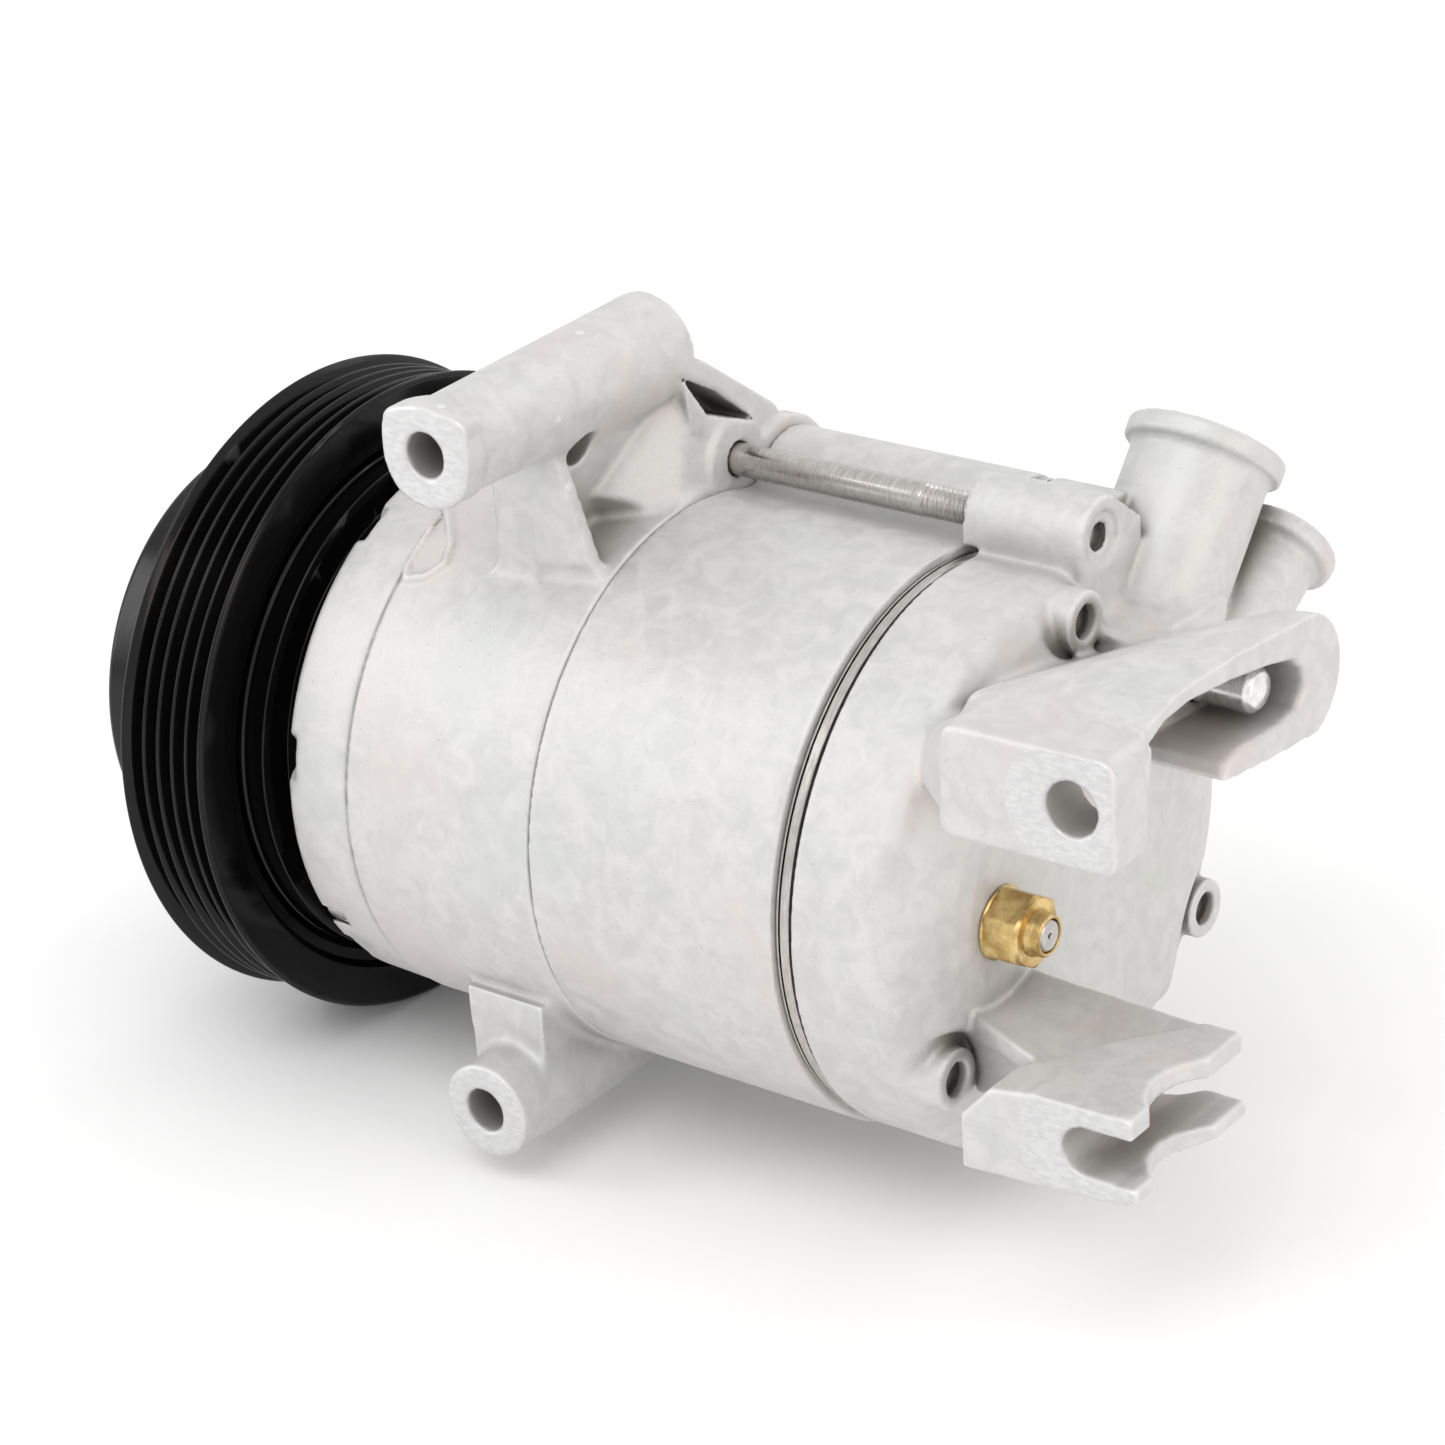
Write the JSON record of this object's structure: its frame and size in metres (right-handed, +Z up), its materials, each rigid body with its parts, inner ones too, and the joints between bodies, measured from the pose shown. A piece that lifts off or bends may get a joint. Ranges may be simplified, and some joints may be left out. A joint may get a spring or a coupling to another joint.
{
  "type": "automotive ac compressor",
  "caption": "Swash-plate refrigerant compressor in cast aluminium with a belt pulley and electromagnetic clutch, mounting tubes, a slotted lug and hose ports.",
  "frame": {"origin": "middle of the underside of the part's bounding box; the shaft axis is 62.5 mm above it and 4.2 mm to its -Y side", "axes": "+X along the shaft from the clutch to the rear head, -Y out of the machined mounting faces, +Z up towards the long upper mounting tube"},
  "size_m": [0.242, 0.1334, 0.1509],
  "materials": {
    "cast_aluminium": "sand-cast skin, satin, slightly uneven",
    "machined_aluminium": "turned and milled, bright with fine tool marks",
    "bright_steel": "ground or zinc-plated steel, fairly glossy",
    "dark_steel": "phosphated or oiled steel, darker and duller",
    "black_paint": "gloss black baked coating on steel",
    "black_rubber": "matte moulded rubber",
    "valve_brass": "machined yellow brass, semi-gloss",
    "copper_winding": "enamelled copper wire, glossy",
    "black_plastic": "moulded black plastic, satin"
  },
  "bodies": {
    "case": {"bearing_inner_ring": "bright_steel", "bearing_snap_ring": "dark_steel", "coil_connector": "black_plastic", "coil_lead": "black_rubber", "coil_snap_ring": "dark_steel", "coil_winding": "copper_winding", "control_valve": "bright_steel", "control_valve_ring": "dark_steel", "cylinder_block": "cast_aluminium", "discharge_reed": "dark_steel", "field_coil": "black_paint", "front_housing": "cast_aluminium", "front_needle_bearing": "bright_steel", "housing_seal": "black_rubber", "piston_1": "machined_aluminium", "piston_2": "machined_aluminium", "piston_3": "machined_aluminium", "piston_4": "machined_aluminium", "piston_5": "machined_aluminium", "piston_6": "machined_aluminium", "pocket_plug": "bright_steel", "rear_head": "cast_aluminium", "rear_needle_bearing": "bright_steel", "relief_plug": "dark_steel", "relief_spring": "bright_steel", "relief_valve_body": "valve_brass", "shaft_seal": "black_rubber", "shoe_front_1": "dark_steel", "shoe_front_2": "dark_steel", "shoe_front_3": "dark_steel", "shoe_front_4": "dark_steel", "shoe_front_5": "dark_steel", "shoe_front_6": "dark_steel", "shoe_rear_1": "dark_steel", "shoe_rear_2": "dark_steel", "shoe_rear_3": "dark_steel", "shoe_rear_4": "dark_steel", "shoe_rear_5": "dark_steel", "shoe_rear_6": "dark_steel", "suction_reed": "dark_steel", "through_bolt_1": "bright_steel", "through_bolt_2": "bright_steel", "through_bolt_3": "bright_steel", "tie_bolt": "bright_steel", "valve_plate": "bright_steel"},
    "pulley_body": {"pulley": "black_paint", "bearing_outer_ring": "bright_steel", "bearing_balls": "bright_steel"},
    "shaft_body": {"drive_shaft": "bright_steel", "rotor_plate": "dark_steel", "swash_plate": "dark_steel", "hinge_pin": "bright_steel", "destroke_spring": "bright_steel", "thrust_bearing": "bright_steel", "clutch_hub": "dark_steel", "hub_nut": "bright_steel", "damper_ring": "black_rubber"},
    "clutch_body": {"armature_plate": "dark_steel", "hub_pan": "black_paint"},
    "relief_body": {"relief_poppet": "bright_steel"}
  },
  "joints": [
    {"name": "pulley_spin", "type": "hinge", "parent": "case", "child": "pulley_body", "pos_m": [-0.0844, -0.0042, 0.0625], "axis": [1, 0, 0], "continuous": true},
    {"name": "shaft_spin", "type": "hinge", "parent": "case", "child": "shaft_body", "pos_m": [-0.0844, -0.0042, 0.0625], "axis": [1, 0, 0], "continuous": true},
    {"name": "clutch_engage", "type": "slide", "parent": "shaft_body", "child": "clutch_body", "axis": [1, 0, 0], "range_m": [0, 0.00045], "deforming": ["damper_ring"]},
    {"name": "relief_open", "type": "slide", "parent": "case", "child": "relief_body", "axis": [1, 0, 0], "range_m": [0, 0.0012], "deforming": ["relief_spring"]}
  ]
}
